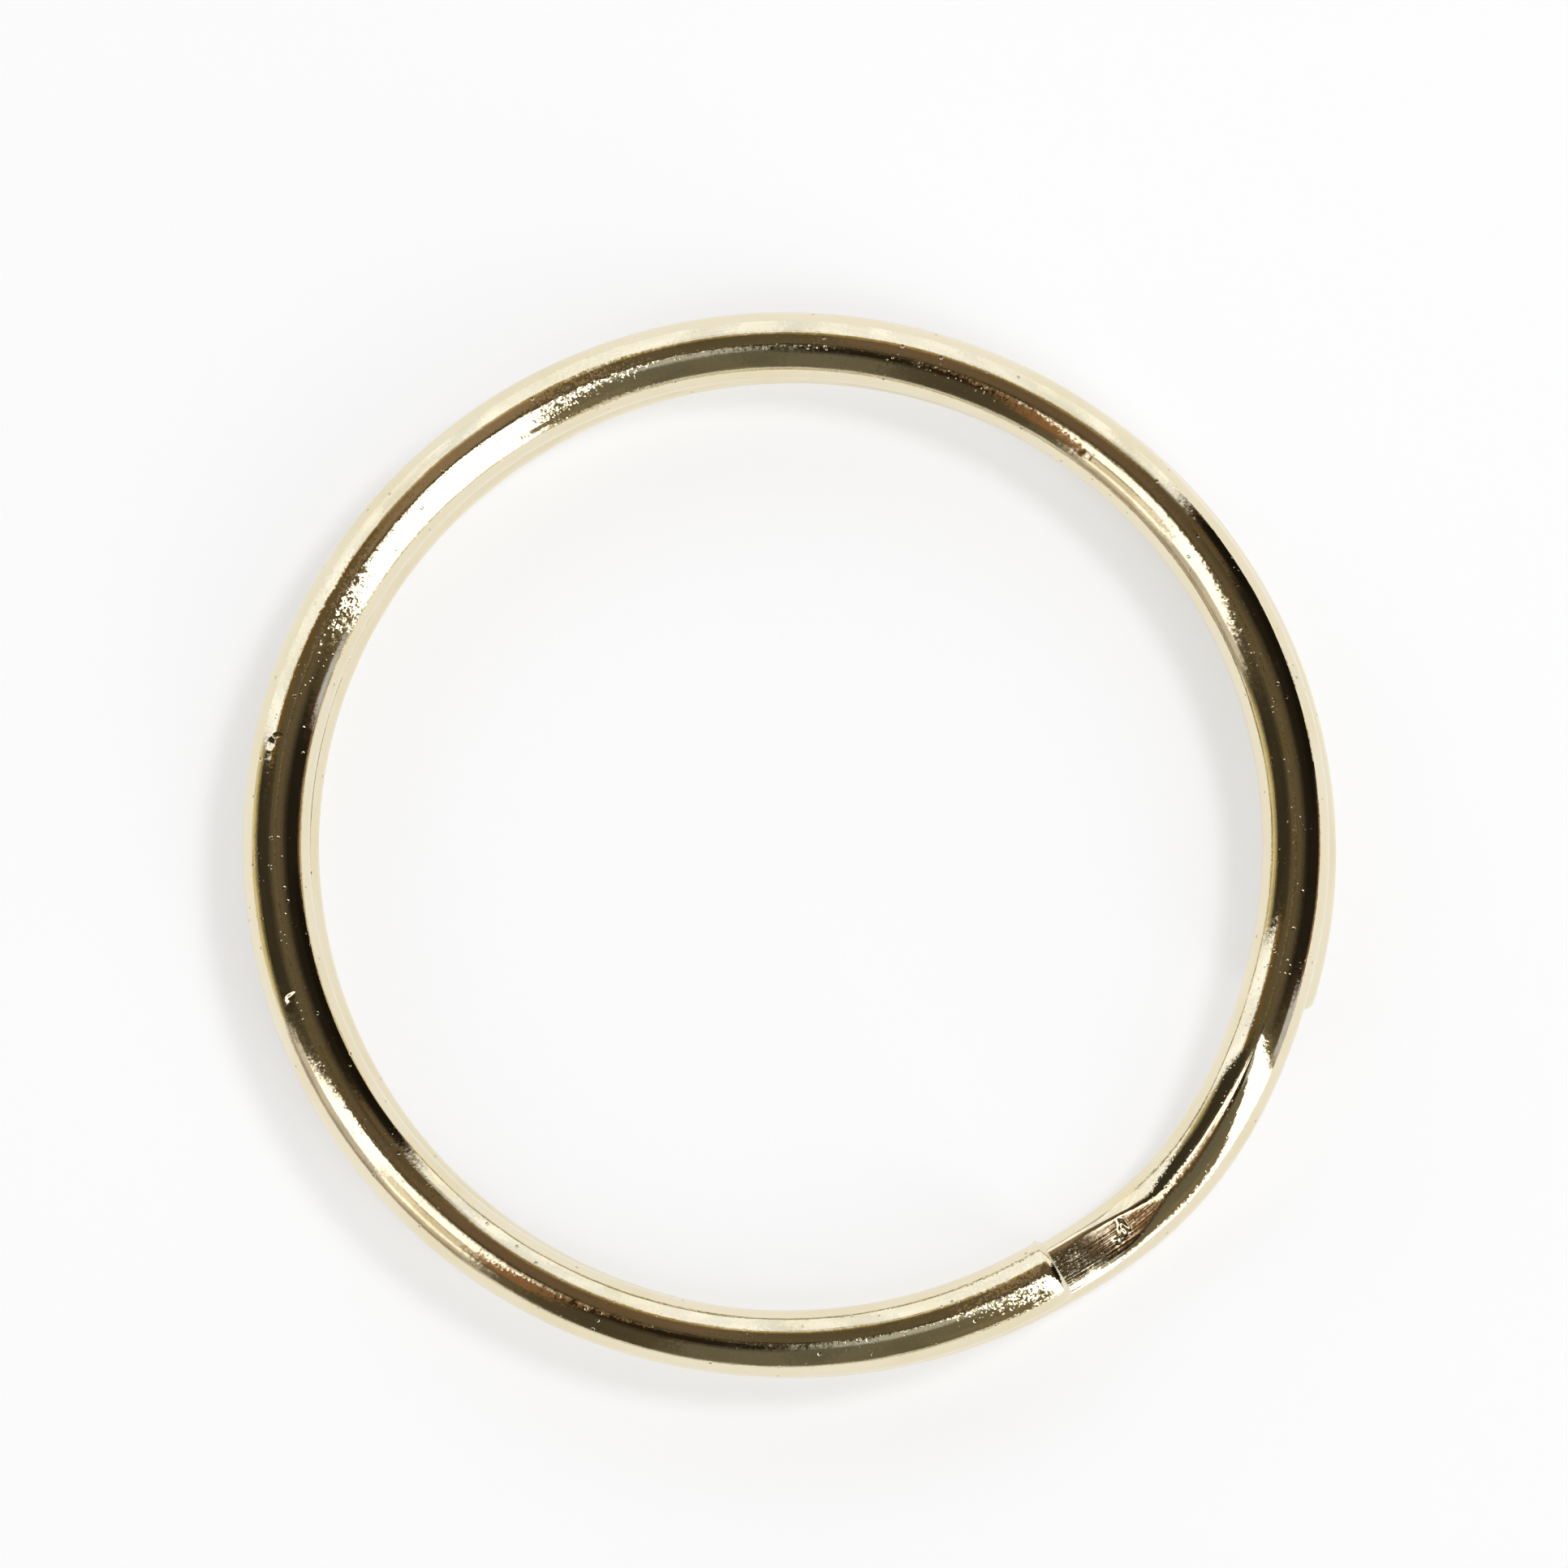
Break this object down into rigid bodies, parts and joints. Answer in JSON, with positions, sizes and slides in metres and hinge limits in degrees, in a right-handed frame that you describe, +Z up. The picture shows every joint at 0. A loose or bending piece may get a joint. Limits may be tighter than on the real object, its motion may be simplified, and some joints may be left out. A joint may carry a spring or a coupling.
{
  "type": "split ring",
  "caption": "Split ring: a single wire coiled into flat, touching turns with a sloping crossover, which things are threaded onto past its free ends.",
  "frame": {"origin": "middle of the ring, on the plane that its lower turn rests on", "axes": "+Z up through the ring, from the lower turn to the upper one; +X towards the side that has the crossover and the lower turn's free end; +Y square to both"},
  "size_m": [0.0325, 0.0316, 0.0035],
  "materials": {
    "wire": "bright pale-gold plating, polished, finely pitted and scratched by use"
  },
  "bodies": {
    "root": {"split_ring": "wire"}
  },
  "joints": []
}
